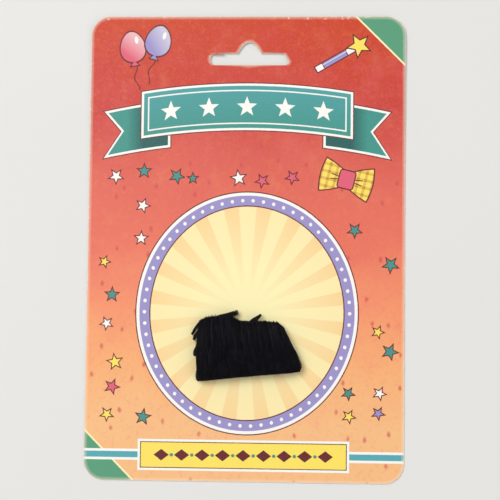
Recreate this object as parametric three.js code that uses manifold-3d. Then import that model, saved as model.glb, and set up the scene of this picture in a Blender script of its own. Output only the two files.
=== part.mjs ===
// A self-adhesive false moustache on the printed hang card that it is sold on. Millimetres, +Z up. The
// card lies on its back. The origin is the middle of its back face, and +Y points to its top edge, where
// the hang slot is. The moustache is a piece of long-pile fur cloth, stuck to the front of the card a
// little askew.
import * as THREE from 'three';
import { mergeVertices } from 'three/addons/utils/BufferGeometryUtils.js';
import Module from 'manifold-3d';

const wasm = await Module();
wasm.setup();

// Driving dimensions: the card
const CARD_WIDTH = 128;
const CARD_HEIGHT = 188;
const CARD_THICKNESS = 0.6;
const CARD_CORNER_RADIUS = 8;

// Driving dimensions: the hang slot, a long bar with a round-topped bump over its middle
const SLOT_WIDTH = 32;
const SLOT_BAR_HEIGHT = 4.8;
const SLOT_BUMP_WIDTH = 9.2;
const SLOT_BUMP_RISE = 4.5;
const SLOT_BUMP_SHOULDER = 0.45;
const SLOT_CLIPPED_END_LENGTH = 2.1;
const SLOT_CLIPPED_END_RISE = 1.6;
const SLOT_BELOW_CARD_TOP = 10.6;
const SLOT_RIGHT_OF_MIDDLE = 0.8;

// Driving dimensions: where the moustache sits, measured to the middle of its clipped lower edge
const MOUSTACHE_ABOVE_CARD_BOTTOM = 42.2;
const MOUSTACHE_RIGHT_OF_MIDDLE = 2.1;
const MOUSTACHE_TILT_DEG = 6.4;
const SEAT_GAP = 0.05;

// Driving dimensions: the moustache
const PAD_THICKNESS = 0.4;
const PAD_MARGIN = 1.6;
const CLOTH_THICKNESS = 1.2;
const CLOTH_MARGIN = 1.4;
const PILE_WIDTH = 43;
const PILE_HEIGHT = 25.4;
const PILE_DEPTH = 6.4;
const LOCK_WIDTH = 3.6;
const TUFT_THICKNESS = 1.7;

// How the pile lies, from the left edge to the right one, seen from the front. Each row is one line of
// hair, from its root at the top edge to its clipped end. across and bow are shares of PILE_WIDTH, up of
// PILE_HEIGHT, and depth of PILE_DEPTH. reach is how far the line runs: 1 is cut off by the scissors, and
// less is a rounded lower corner.
const HAIR_LINES = [
  { at: 0.0, rootAcross: -0.41, rootUp: 0.94, endAcross: -0.475, bow: -0.024, depth: 0.48, reach: 0.98 },
  { at: 0.12, rootAcross: -0.345, rootUp: 1.0, endAcross: -0.385, bow: -0.015, depth: 0.86, reach: 1.0 },
  { at: 0.28, rootAcross: -0.21, rootUp: 1.02, endAcross: -0.225, bow: -0.01, depth: 1.0, reach: 1.0 },
  { at: 0.4, rootAcross: -0.12, rootUp: 0.995, endAcross: -0.11, bow: 0.0, depth: 0.98, reach: 1.0 },
  { at: 0.48, rootAcross: -0.03, rootUp: 0.89, endAcross: -0.02, bow: 0.0, depth: 0.92, reach: 1.0 },
  { at: 0.6, rootAcross: 0.085, rootUp: 0.855, endAcross: 0.095, bow: 0.0, depth: 0.97, reach: 1.0 },
  { at: 0.75, rootAcross: 0.205, rootUp: 0.845, endAcross: 0.24, bow: 0.005, depth: 1.0, reach: 1.0 },
  { at: 0.88, rootAcross: 0.308, rootUp: 0.81, endAcross: 0.385, bow: 0.01, depth: 0.85, reach: 1.0 },
  { at: 1.0, rootAcross: 0.37, rootUp: 0.71, endAcross: 0.5, bow: 0.006, depth: 0.48, reach: 0.96 },
];

// The side profile of the pile: how high it stands along a line of hair, from root 0 to clipped end 1.
const SIDE_PROFILE = [
  { along: 0.0, height: 0.42 },
  { along: 0.12, height: 0.72 },
  { along: 0.35, height: 0.97 },
  { along: 0.6, height: 1.0 },
  { along: 0.85, height: 0.86 },
  { along: 1.0, height: 0.7 },
];

// The rows of locks, from the one next to the clipped edge to the one at the top edge. Each row lies over
// the one below it. root and tip are places along a line of hair, lift is how far a lock stands above the
// pile's own height.
const LOCK_ROWS = [
  { count: 14, root: 0.5, tip: 1.06, lift: -0.1, widen: 1.0 },
  { count: 13, root: 0.34, tip: 0.93, lift: 0.0, widen: 1.05 },
  { count: 12, root: 0.16, tip: 0.72, lift: 0.04, widen: 1.05 },
  { count: 12, root: -0.04, tip: 0.46, lift: 0.02, widen: 1.0 },
];

// A lock's own shape from root to tip: where along the lock, its share of the full width, and how far its
// crest has sunk below the pile's surface, as a share of the pile's height there.
const LOCK_STATIONS = [
  { run: 0.0, width: 0.7, sink: 0.4 },
  { run: 0.22, width: 0.95, sink: 0.06 },
  { run: 0.6, width: 1.0, sink: 0.0 },
  { run: 0.86, width: 0.72, sink: 0.06 },
  { run: 1.0, width: 0.26, sink: 0.24 },
];

// The stray tufts that stand out past the edge. line and along place the root, as on a line of hair.
// toAcross and toUp are how far the tip lies from the root, as shares of PILE_WIDTH and PILE_HEIGHT.
const TUFTS = [
  { line: 0.27, along: 0.05, toAcross: 0.177, toUp: 0.075, width: 0.8 },
  { line: 0.57, along: 0.04, toAcross: 0.115, toUp: 0.115, width: 0.5 },
  { line: 0.06, along: 0.03, toAcross: -0.107, toUp: -0.21, width: 0.4 },
  { line: 0.02, along: 0.2, toAcross: -0.05, toUp: -0.12, width: 0.4 },
  { line: 0.03, along: 0.38, toAcross: -0.035, toUp: -0.17, width: 0.6 },
  { line: 0.03, along: 0.8, toAcross: -0.035, toUp: -0.15, width: 0.6 },
];

// Shares of the pile's own height: the dense core under the locks, a lock's underside, and a tuft's root
// and arch.
const CORE_SHARE = 0.8;
const LOCK_FOOT_SHARE = 0.4;
const TUFT_ROOT_SHARE = 0.5;
const TUFT_ARCH_SHARE = 0.15;

// How unevenly the locks lie. The first lock of a row and the stagger of every other row are shares of
// the spacing.
const FIRST_LOCK = 0.25;
const ROW_STAGGER = 0.5;
const SWAY = 0.012;
const SWAY_SEED = 7;
const LENGTH_SCATTER = 0.05;
const WIDTH_SCATTER = 0.15;
const WIDTH_SEED = 3;

// How finely the curves are cut into faces
const LOCK_SIDES = 6;
const CORE_STATIONS = 6;
const CLOTH_STEPS = 10;
const ARC_STEPS = 8;

function mix(a, b, share) {
  return a + (b - a) * share;
}

// The value of one column of a table, read between the rows at a place along its key column.
function readTable(rows, key, column, place) {
  let upper = 1;
  while (upper < rows.length - 1 && rows[upper][key] < place) upper++;
  const low = rows[upper - 1];
  const high = rows[upper];
  const share = (place - low[key]) / (high[key] - low[key]);
  return mix(low[column], high[column], THREE.MathUtils.clamp(share, 0, 1));
}

// A repeatable value from -1 to 1 for lock number index of a row.
function scatter(index, row) {
  const wave = Math.sin(index * 12.9898 + row * 78.233) * 43758.5453;
  return 2 * (wave - Math.floor(wave)) - 1;
}

// A point of the pile seen from the front: on the line of hair number line (0 left, 1 right), at along (0
// its root).
function pilePoint(line, along) {
  const column = (name) => readTable(HAIR_LINES, 'at', name, line);
  const bulge = 4 * along * (1 - along) * column('bow');
  const across = mix(column('rootAcross'), column('endAcross'), along) + bulge;
  return new THREE.Vector2(across * PILE_WIDTH, column('rootUp') * (1 - along) * PILE_HEIGHT);
}

// The height of the pile's surface over the cloth at such a point.
function pileHeight(line, along) {
  const depth = PILE_DEPTH * readTable(HAIR_LINES, 'at', 'depth', line);
  return depth * readTable(SIDE_PROFILE, 'along', 'height', along);
}

// A closed skin through loops that all have the same even number of points, with both end loops closed.
function loft(loops) {
  const count = loops[0].length;
  const positions = loops.flat().flatMap((p) => [p.x, p.y, p.z]);
  const faces = [];
  for (let ring = 0; ring + 1 < loops.length; ring++) {
    for (let i = 0; i < count; i++) {
      const a = ring * count + i;
      const b = ring * count + ((i + 1) % count);
      faces.push(a, b, b + count, a, b + count, a + count);
    }
  }
  const last = (loops.length - 1) * count;
  for (let i = 0; i + 1 < count / 2; i++) {
    const mate = count - 1 - i;
    faces.push(i, mate, i + 1, i + 1, mate, mate - 1);
    faces.push(last + i, last + i + 1, last + mate, last + i + 1, last + mate - 1, last + mate);
  }
  const geometry = new THREE.BufferGeometry();
  geometry.setAttribute('position', new THREE.Float32BufferAttribute(positions, 3));
  geometry.setIndex(faces);
  return geometry;
}

// A three.js geometry as a solid for joining and cutting, and back.
function toSolid(geometry) {
  const bare = geometry.clone();
  bare.deleteAttribute('normal');
  bare.deleteAttribute('uv');
  const merged = mergeVertices(bare, 1e-4);
  const mesh = new wasm.Mesh({
    numProp: 3,
    vertProperties: new Float32Array(merged.attributes.position.array),
    triVerts: new Uint32Array(merged.index.array),
  });
  return new wasm.Manifold(mesh);
}

function toGeometry(solid) {
  const mesh = solid.getMesh();
  const geometry = new THREE.BufferGeometry();
  geometry.setAttribute('position', new THREE.Float32BufferAttribute(mesh.vertProperties, 3));
  geometry.setIndex(Array.from(mesh.triVerts));
  geometry.computeVertexNormals();
  return geometry;
}

// The card: a rounded rectangle of board with the hang slot punched through it.
function cardOutline() {
  const right = CARD_WIDTH / 2;
  const top = CARD_HEIGHT / 2;
  const r = CARD_CORNER_RADIUS;
  const outline = new THREE.Shape();
  outline.moveTo(right, top - r);
  outline.absarc(right - r, top - r, r, 0, Math.PI / 2);
  outline.absarc(-right + r, top - r, r, Math.PI / 2, Math.PI);
  outline.absarc(-right + r, -top + r, r, Math.PI, 1.5 * Math.PI);
  outline.absarc(right - r, -top + r, r, 1.5 * Math.PI, 2 * Math.PI);
  outline.closePath();
  return outline;
}

// The slot's left end is round. Its right end is cut off at a slant, as the punch left it. The bump is
// one cubic curve, which reaches three quarters of the height of its two middle control points.
function slotOutline() {
  const endRadius = SLOT_BAR_HEIGHT / 2;
  const middle = SLOT_RIGHT_OF_MIDDLE;
  const left = middle - SLOT_WIDTH / 2;
  const right = middle + SLOT_WIDTH / 2;
  const barTop = CARD_HEIGHT / 2 - SLOT_BELOW_CARD_TOP - SLOT_BUMP_RISE;
  const barBottom = barTop - SLOT_BAR_HEIGHT;
  const bumpFoot = SLOT_BUMP_WIDTH / 2;
  const shoulder = SLOT_BUMP_SHOULDER * bumpFoot;
  const control = barTop + SLOT_BUMP_RISE / 0.75;
  const outline = new THREE.Path();
  outline.moveTo(left + endRadius, barBottom);
  outline.lineTo(right - SLOT_CLIPPED_END_RISE, barBottom);
  outline.quadraticCurveTo(right, barBottom, right, barBottom + SLOT_CLIPPED_END_RISE);
  outline.lineTo(right - SLOT_CLIPPED_END_LENGTH, barTop);
  outline.lineTo(middle + bumpFoot, barTop);
  outline.bezierCurveTo(middle + shoulder, control, middle - shoulder, control, middle - bumpFoot, barTop);
  outline.lineTo(left + endRadius, barTop);
  outline.absarc(left + endRadius, barTop - endRadius, endRadius, Math.PI / 2, 1.5 * Math.PI);
  return outline;
}

function backingCard() {
  const outline = cardOutline();
  outline.holes.push(slotOutline());
  const geometry = new THREE.ExtrudeGeometry(outline, {
    depth: CARD_THICKNESS,
    bevelEnabled: false,
    curveSegments: ARC_STEPS,
  });
  const material = new THREE.MeshStandardMaterial({ color: 0xe8825c, roughness: 0.45, metalness: 0 });
  return new THREE.Mesh(geometry, material);
}

// A flat sheet cut to the pile's outline, smaller than the pile by a margin all round.
function pileSheet(margin, thickness) {
  const side = margin / PILE_WIDTH;
  const topShare = margin / PILE_HEIGHT;
  const endShare = 1 - topShare;
  const upper = [];
  const lower = [];
  for (let step = 0; step <= CLOTH_STEPS; step++) {
    const line = mix(side, 1 - side, step / CLOTH_STEPS);
    upper.push(pilePoint(line, topShare));
    lower.push(pilePoint(line, endShare));
  }
  const outline = new THREE.Shape([...lower, ...upper.reverse()]);
  return new THREE.ExtrudeGeometry(outline, { depth: thickness, bevelEnabled: false });
}

function adhesivePad() {
  const material = new THREE.MeshStandardMaterial({ color: 0xd9d4c4, roughness: 0.6, metalness: 0 });
  return new THREE.Mesh(pileSheet(CLOTH_MARGIN + PAD_MARGIN, PAD_THICKNESS), material);
}

// The dense pile at the roots: one section for each line of hair, joined across the moustache.
function pileCore() {
  const loops = HAIR_LINES.map(({ at, reach }) => {
    const top = [];
    const foot = [];
    for (let step = 0; step < CORE_STATIONS; step++) {
      const along = (reach * step) / (CORE_STATIONS - 1);
      const p = pilePoint(at, along);
      top.push(new THREE.Vector3(p.x, p.y, CLOTH_THICKNESS + CORE_SHARE * pileHeight(at, along)));
      foot.unshift(new THREE.Vector3(p.x, p.y, CLOTH_THICKNESS / 2));
    }
    return [...top, ...foot];
  });
  return loft(loops);
}

// One station of a lock: a flattened ring round its middle, wide along the cloth and thin across it.
function lockRing(middle, heading, width, thickness) {
  const wide = new THREE.Vector3(-heading.y, heading.x, 0).normalize();
  const ring = [];
  for (let side = 0; side < LOCK_SIDES; side++) {
    const angle = (2 * Math.PI * (side + 0.5)) / LOCK_SIDES;
    const point = middle.clone().addScaledVector(wide, (width / 2) * Math.cos(angle));
    point.z += (thickness / 2) * Math.sin(angle);
    ring.push(point);
  }
  return ring;
}

// A lock of hair through the middles of its stations, with its thickness at each of them.
function lockAlong(middles, thicknesses, width) {
  const loops = middles.map((middle, i) => {
    const before = middles[Math.max(i - 1, 0)];
    const after = middles[Math.min(i + 1, middles.length - 1)];
    return lockRing(middle, after.clone().sub(before), width * LOCK_STATIONS[i].width, thicknesses[i]);
  });
  return loft(loops);
}

// Lock number index of a row. It starts in the core, rises to the pile's surface and runs down the line
// of hair. A lock of the top row starts a little above the line's own root.
function rowLock(row, rowNumber, index) {
  const stagger = rowNumber % 2 ? ROW_STAGGER : 0;
  const line = (index + FIRST_LOCK + stagger) / row.count;
  const sway = SWAY * scatter(index, rowNumber + SWAY_SEED);
  const reach = readTable(HAIR_LINES, 'at', 'reach', line);
  const tip = reach * (row.tip + LENGTH_SCATTER * scatter(index, rowNumber));
  const middles = [];
  const thicknesses = [];
  for (const { run, sink } of LOCK_STATIONS) {
    const along = mix(row.root, tip, run);
    const p = pilePoint(line + sway * run, Math.max(along, 0));
    const aboveRoot = Math.max(-along, 0) * PILE_HEIGHT;
    const height = pileHeight(line, Math.max(along, 0));
    const crest = height * (1 + row.lift - sink);
    const foot = height * LOCK_FOOT_SHARE;
    middles.push(new THREE.Vector3(p.x, p.y + aboveRoot, CLOTH_THICKNESS + (crest + foot) / 2));
    thicknesses.push(crest - foot);
  }
  const width = LOCK_WIDTH * row.widen * (1 + WIDTH_SCATTER * scatter(index, rowNumber + WIDTH_SEED));
  return lockAlong(middles, thicknesses, width);
}

// A stray tuft: it leaves the core at its root and arches to its tip past the pile's edge.
function tuftLock({ line, along, toAcross, toUp, width }) {
  const root = pilePoint(line, along);
  const rootHeight = CLOTH_THICKNESS + TUFT_ROOT_SHARE * pileHeight(line, along);
  const middles = LOCK_STATIONS.map(({ run }) => {
    const x = root.x + run * toAcross * PILE_WIDTH;
    const y = root.y + run * toUp * PILE_HEIGHT;
    const arch = TUFT_ARCH_SHARE * PILE_DEPTH * Math.sin(Math.PI * run);
    return new THREE.Vector3(x, y, rootHeight + arch);
  });
  const thicknesses = LOCK_STATIONS.map((station) => TUFT_THICKNESS * station.width);
  return lockAlong(middles, thicknesses, LOCK_WIDTH * width);
}

// A block that covers everything below the clipped edge.
function scissorsCut() {
  const size = 2 * Math.max(PILE_WIDTH, PILE_HEIGHT, PILE_DEPTH);
  return new THREE.BoxGeometry(size, size, size).translate(0, -size / 2, 0);
}

// The hollows that the locks close in between them are hair too, so only the outer skins are kept.
function withoutHollows(solid) {
  return solid
    .decompose()
    .filter((body) => body.volume() > 0)
    .reduce((whole, body) => whole.add(body));
}

function moustacheFur() {
  let fur = toSolid(pileSheet(CLOTH_MARGIN, CLOTH_THICKNESS)).add(toSolid(pileCore()));
  LOCK_ROWS.forEach((row, rowNumber) => {
    for (let index = 0; index < row.count; index++) {
      fur = fur.add(toSolid(rowLock(row, rowNumber, index)));
    }
  });
  for (const tuft of TUFTS) fur = fur.add(toSolid(tuftLock(tuft)));
  fur = withoutHollows(fur.subtract(toSolid(scissorsCut())));
  const material = new THREE.MeshStandardMaterial({ color: 0x0d0d10, roughness: 0.7, metalness: 0 });
  return new THREE.Mesh(toGeometry(fur), material);
}

function named(mesh, name) {
  mesh.name = name;
  return mesh;
}

const card = named(backingCard(), 'backing_card');
const pad = named(adhesivePad(), 'adhesive_pad');
const fur = named(moustacheFur(), 'moustache_fur');
fur.position.z = PAD_THICKNESS + SEAT_GAP;

const moustache = new THREE.Group();
moustache.add(pad, fur);
moustache.position.set(
  MOUSTACHE_RIGHT_OF_MIDDLE,
  -CARD_HEIGHT / 2 + MOUSTACHE_ABOVE_CARD_BOTTOM,
  CARD_THICKNESS + SEAT_GAP,
);
moustache.rotation.z = THREE.MathUtils.degToRad(MOUSTACHE_TILT_DEG);

const cardedMoustache = new THREE.Group();
cardedMoustache.add(card, moustache);

export default cardedMoustache;
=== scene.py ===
import math

import bpy
import numpy as np
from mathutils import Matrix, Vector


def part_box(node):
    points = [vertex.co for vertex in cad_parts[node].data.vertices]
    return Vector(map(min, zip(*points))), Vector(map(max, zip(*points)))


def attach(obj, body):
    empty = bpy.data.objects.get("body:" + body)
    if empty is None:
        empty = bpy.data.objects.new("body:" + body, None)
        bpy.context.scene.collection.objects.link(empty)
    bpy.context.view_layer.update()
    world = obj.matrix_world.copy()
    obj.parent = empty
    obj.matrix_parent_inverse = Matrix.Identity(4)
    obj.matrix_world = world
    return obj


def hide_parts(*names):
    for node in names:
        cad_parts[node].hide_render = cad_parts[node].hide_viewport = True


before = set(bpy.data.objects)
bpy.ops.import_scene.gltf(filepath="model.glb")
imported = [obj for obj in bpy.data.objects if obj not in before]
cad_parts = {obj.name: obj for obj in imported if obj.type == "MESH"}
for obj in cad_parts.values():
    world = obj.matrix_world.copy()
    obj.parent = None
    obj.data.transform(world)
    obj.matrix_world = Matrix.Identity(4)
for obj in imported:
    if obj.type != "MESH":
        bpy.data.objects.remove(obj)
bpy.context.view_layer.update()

# The display card: the board
# A die-cut sheet of white-lined board, printed and varnished on the front and bare on the back. It has
# bowed a little on its peg, so its top edge lifts off the table. The hang slot is punched through it.
scene = bpy.context.scene
MM = 0.001
CARD_LOW, CARD_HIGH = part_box("backing_card")
CARD_MIDDLE = (CARD_LOW + CARD_HIGH) / 2
CARD_WIDTH = CARD_HIGH.x - CARD_LOW.x
CARD_HEIGHT = CARD_HIGH.y - CARD_LOW.y
CARD_THICKNESS = CARD_HIGH.z - CARD_LOW.z
CORNER_RADIUS = 8.0 * MM
SLOT_WIDTH = 32.0 * MM
SLOT_BAR_HEIGHT = 4.8 * MM
SLOT_BUMP_WIDTH = 9.2 * MM
SLOT_BUMP_RISE = 4.5 * MM
SLOT_BUMP_SHOULDER = 0.45
SLOT_CLIPPED_LENGTH = 2.1 * MM
SLOT_CLIPPED_RISE = 1.6 * MM
SLOT_BELOW_TOP = 10.6 * MM
SLOT_RIGHT_OF_MIDDLE = 0.8 * MM
SLOT_CORNER_CUT = 0.3 * SLOT_CLIPPED_RISE
PAPER_NICK_AT = -10.2 * MM
PAPER_NICK_WIDTH = 0.35 * MM
PAPER_NICK_FALL = 1.1 * MM
EDGE_ROUNDING = 0.14 * MM
BOW_RISE = 0.9 * MM
BOW_FLAT_UNTIL = -6.0 * MM
EDGE_RINGS = np.array([0.0, 0.25, 0.6, 1.2, 2.4]) * MM
FACE_RINGS = 14
ROUNDING_STEPS = 4
OUTLINE_STEP = 3.0 * MM
SLOT_STEP = 0.45 * MM


def stroke(start, end, step):
    """Points on the straight line start + s (end - start), a step apart, without its end."""
    start, end = np.array(start), np.array(end)
    count = max(1, math.ceil(np.linalg.norm(end - start) / step))
    return start + np.arange(count)[:, None] / count * (end - start)


def strokes(corners, step):
    """Straight lines from each corner to the next, without the last corner."""
    return np.concatenate([stroke(start, end, step) for start, end in zip(corners[:-1], corners[1:])])


def sweep(centre, radius, start, end, step):
    """Points on the arc centre + radius (cos a, sin a), for a from start to end degrees, without its end."""
    count = max(4, math.ceil(radius * math.radians(abs(end - start)) / step))
    angle = np.radians(start + (end - start) * np.arange(count) / count)
    return np.array(centre) + radius * np.stack([np.cos(angle), np.sin(angle)], axis=1)


def bulge(start, first, second, end, step):
    """Points on the cubic curve with those four control points, without its end. Where both inner ones are
    equally high, the curve rises to three quarters of their height."""
    count = max(8, math.ceil(math.dist(start, end) * 1.6 / step))
    s = np.arange(count)[:, None] / count
    start, first, second, end = (np.array(p) for p in (start, first, second, end))
    return (1 - s) ** 3 * start + 3 * s * (1 - s) ** 2 * first + 3 * s**2 * (1 - s) * second + s**3 * end


def card_outline():
    """The card's rounded rectangle, as points in metres, anticlockwise from its right side: each side, and
    then the corner after it."""
    right, top = CARD_WIDTH / 2, CARD_HEIGHT / 2
    x, y = right - CORNER_RADIUS, top - CORNER_RADIUS
    starts = [(right, -y), (x, top), (-right, y), (-x, -top)]
    ends = [(right, y), (-x, top), (-right, -y), (x, -top)]
    centres = [(x, y), (-x, y), (-x, -y), (x, -y)]
    parts = []
    for number, centre in enumerate(centres):
        parts.append(stroke(starts[number], ends[number], OUTLINE_STEP))
        parts.append(sweep(centre, CORNER_RADIUS, 90 * number, 90 * number + 90, OUTLINE_STEP / 2))
    return np.concatenate(parts)


SLOT_BAR_TOP = CARD_HEIGHT / 2 - SLOT_BELOW_TOP - SLOT_BUMP_RISE
SLOT_MIDDLE = np.array([SLOT_RIGHT_OF_MIDDLE, SLOT_BAR_TOP - SLOT_BAR_HEIGHT / 2])


def slot_outline():
    """The punched slot, anticlockwise: a bar with one round end and one slanted end, a bump that is one
    cubic curve, and a sliver of board that the punch left hanging from its upper edge."""
    x, top = SLOT_MIDDLE[0], SLOT_BAR_TOP
    left, right, low = x - SLOT_WIDTH / 2, x + SLOT_WIDTH / 2, top - SLOT_BAR_HEIGHT
    foot, control = SLOT_BUMP_WIDTH / 2, top + SLOT_BUMP_RISE / 0.75
    shoulder, end_radius = SLOT_BUMP_SHOULDER * foot, SLOT_BAR_HEIGHT / 2
    nick = x + PAPER_NICK_AT
    under_and_right = [
        (left + end_radius, low), (right - SLOT_CLIPPED_RISE, low),
        (right - SLOT_CORNER_CUT, low + SLOT_CORNER_CUT), (right, low + SLOT_CLIPPED_RISE),
        (right - SLOT_CLIPPED_LENGTH, top), (x + foot, top),
    ]
    over_and_left = [
        (x - foot, top), (nick + PAPER_NICK_WIDTH, top), (nick, top - PAPER_NICK_FALL),
        (nick - PAPER_NICK_WIDTH, top), (left + end_radius, top),
    ]
    return np.concatenate([
        strokes(under_and_right, SLOT_STEP),
        bulge((x + foot, top), (x + shoulder, control), (x - shoulder, control), (x - foot, top), SLOT_STEP),
        strokes(over_and_left, SLOT_STEP),
        sweep((left + end_radius, top - end_radius), end_radius, 90, 270, SLOT_STEP),
    ])


def seen_from_slot(points):
    """An outline as angles and distances from the slot's middle, in order of angle."""
    reach = points - SLOT_MIDDLE
    angle = np.mod(np.arctan2(reach[:, 1], reach[:, 0]), 2 * np.pi)
    order = np.argsort(angle)
    return angle[order], np.linalg.norm(reach, axis=1)[order]


def board_bow(y):
    """How far the board has lifted: nothing up to BOW_FLAT_UNTIL, and then as the square of the way up."""
    way = np.clip((y - BOW_FLAT_UNTIL) / (CARD_HEIGHT / 2 - BOW_FLAT_UNTIL), 0, 1)
    return BOW_RISE * way**2


def put_object(name, data):
    """An object that shows that mesh, light or camera."""
    made = bpy.data.objects.new(name, data)
    scene.collection.objects.link(made)
    return made


def put_mesh(name, points, corners, sizes, materials):
    """A smooth object at the origin from arrays: points (n, 3), every face's corners in one row, and each
    face's number of corners."""
    mesh = bpy.data.meshes.new(name)
    mesh.vertices.add(len(points))
    mesh.vertices.foreach_set("co", np.asarray(points, np.float32).ravel())
    mesh.loops.add(len(corners))
    mesh.loops.foreach_set("vertex_index", np.asarray(corners, np.int32))
    mesh.polygons.add(len(sizes))
    mesh.polygons.foreach_set("loop_start", np.concatenate([[0], np.cumsum(sizes)[:-1]]).astype(np.int32))
    mesh.polygons.foreach_set("use_smooth", np.ones(len(sizes), bool))
    for material in materials:
        mesh.materials.append(material)
    mesh.update(calc_edges=True)
    mesh.validate()
    return put_object(name, mesh)


def keep_values(piece, name, values):
    """A number for each of the piece's vertices, kept on its mesh for its material to read."""
    kept = piece.data.attributes.new(name, "FLOAT", "POINT")
    kept.data.foreach_set("value", np.asarray(values, np.float32).ravel())


def from_card_edge(x, y):
    """How far inside the card's rounded rectangle a point lies. Past the corners' centres that is the radius
    less the distance to the nearest centre, and elsewhere it is the distance to the nearest side."""
    past_x = np.abs(x) - (CARD_WIDTH / 2 - CORNER_RADIUS)
    past_y = np.abs(y) - (CARD_HEIGHT / 2 - CORNER_RADIUS)
    beyond = np.hypot(np.maximum(past_x, 0), np.maximum(past_y, 0))
    return CORNER_RADIUS - beyond - np.minimum(np.maximum(past_x, past_y), 0)


def board_mesh(materials):
    """The card is one closed section carried round the slot. At angle a the section runs from the slot's
    edge to the card's edge on the front, round the cut edge, back on the rear face, and round the slot's
    edge. Each point is the slot's middle + radius (cos a, sin a), with a radius between the two outlines."""
    slot, card = seen_from_slot(slot_outline()), seen_from_slot(card_outline())
    angles = np.unique(np.round(np.concatenate([card[0], slot[0]]), 4))
    near, far = (np.interp(angles, *outline, period=2 * np.pi)[:, None] for outline in (slot, card))
    start, stop = near + EDGE_ROUNDING, far - EDGE_ROUNDING
    inner_rings = start + EDGE_RINGS
    outer_rings = stop - EDGE_RINGS[::-1]
    share = (np.arange(1, FACE_RINGS) / FACE_RINGS)[None, :]
    middle_rings = inner_rings[:, -1:] + share * (outer_rings[:, :1] - inner_rings[:, -1:])
    face = np.concatenate([inner_rings, middle_rings, outer_rings], axis=1)
    turn = np.radians(np.linspace(0, 90, ROUNDING_STEPS + 1))[None, 1:]
    out = EDGE_ROUNDING * np.sin(turn)
    drop = np.zeros_like(near) + EDGE_ROUNDING * (1 - np.cos(turn))
    top, flat = CARD_THICKNESS, np.zeros_like(face)
    outer_edge, slot_edge = stop + out, start - out
    radius = [face, outer_edge, outer_edge[:, ::-1], face[:, ::-1], slot_edge, slot_edge[:, ::-1]]
    height = [flat + top, top - drop, drop[:, ::-1], flat, drop, (top - drop)[:, ::-1]]
    radius, height = np.concatenate(radius, axis=1), np.concatenate(height, axis=1)
    x = SLOT_MIDDLE[0] + radius * np.cos(angles)[:, None]
    y = SLOT_MIDDLE[1] + radius * np.sin(angles)[:, None]
    points = np.stack([x + CARD_MIDDLE.x, y + CARD_MIDDLE.y, CARD_LOW.z + height + board_bow(y)], axis=-1)
    rows, columns = radius.shape
    i, j = np.meshgrid(np.arange(rows), np.arange(columns), indexing="ij")
    following, across = (i + 1) % rows, (j + 1) % columns
    here, there = i * columns, following * columns
    quads = np.stack([here + j, here + across, there + across, there + j], axis=-1)
    sizes = np.full(rows * columns, 4)
    piece = put_mesh("printed_card", points.reshape(-1, 3), quads.ravel(), sizes, materials)
    on_front = (j < face.shape[1] - 1).ravel()
    piece.data.polygons.foreach_set("material_index", np.where(on_front, 0, 1).astype(np.int32))
    keep_values(piece, "cut_edge_mm", np.minimum(radius - near, from_card_edge(x, y)) / MM)
    return piece


# The display card: the print
# Offset print under a semi-gloss varnish: a coral ground that turns peach and then yellow towards the foot,
# an oval panel behind the moustache, a blank ribbon, a band with a plate, green corners, two balloons, a bow
# tie, a wand and small stars. Measures are in mm from the card's middle.
INK_SPREAD = 0.12
TWO_PI = 2 * math.pi
OVAL_MIDDLE = (0.8, -26.5)
OVAL_HALF_SIZE = (45.0, 49.0)
RIBBON_RISE = 57.0
FOOT_BAND_RISE = -83.6
LEFT_BALLOON = (-47.0, 81.5)
RIGHT_BALLOON = (-36.5, 84.0)
BOW_TIE_MIDDLE = (40.5, 27.5)
WAND_MIDDLE = (35.5, 76.5)
KEPT_CLEAR = [
    (0.8, 78.7, 19.8, 8.4),
    (-42.0, 79.0, 14.0, 15.0),
    (*BOW_TIE_MIDDLE, 15.0, 11.5),
    (38.0, 78.5, 15.5, 10.0),
]


def rgb(red, green, blue):
    """A colour given as on a screen, 0 to 255, as the linear colour that shaders use."""
    shares = (c / 255 for c in (red, green, blue))
    return (*(s / 12.92 if s <= 0.04045 else ((s + 0.055) / 1.055) ** 2.4 for s in shares), 1.0)


BRICK = rgb(205, 60, 16)
CORAL_DEEP = rgb(204, 62, 53)
CORAL = rgb(225, 101, 84)
ORANGE_PINK = rgb(235, 116, 91)
PEACH = rgb(247, 150, 106)
APRICOT = rgb(250, 176, 116)
MAIZE = rgb(250, 193, 134)
ROSE = rgb(232, 108, 108)
FLECK_RED = rgb(212, 70, 84)
CREAM = rgb(255, 243, 184)
CREAM_DEEP = rgb(255, 232, 170)
RAY_ORANGE = rgb(248, 182, 112)
TAN = rgb(196, 128, 60)
SUN_YELLOW = rgb(255, 228, 98)
LAVENDER = rgb(158, 148, 202)
MAROON = rgb(104, 34, 38)
PAPER_WHITE = rgb(252, 249, 242)
TEAL = rgb(66, 150, 138)
TEAL_DARK = rgb(36, 96, 92)
TEAL_BLUE = rgb(86, 170, 180)
LEAF_GREEN = rgb(88, 158, 122)
STAR_PINK = rgb(228, 96, 120)
BOARD_WHITE = rgb(240, 234, 222)
BOARD_YELLOWED = rgb(231, 219, 194)
PULP_GREY = rgb(184, 176, 161)
PULP_BROWN = rgb(132, 112, 92)
RIM_CREAM = rgb(255, 232, 208)


def joined(operation):
    """Methods that put a Math node on a Shade and another value, with the Shade first and with it last."""
    return (
        lambda self, other: self.math(operation, self, other),
        lambda self, other: self.math(operation, other, self),
    )


def plug(value, socket):
    """Links a Shade to the socket, or sets the socket to any other value."""
    if isinstance(value, Shade):
        value.tree.links.new(value.socket, socket)
    else:
        socket.default_value = value


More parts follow.
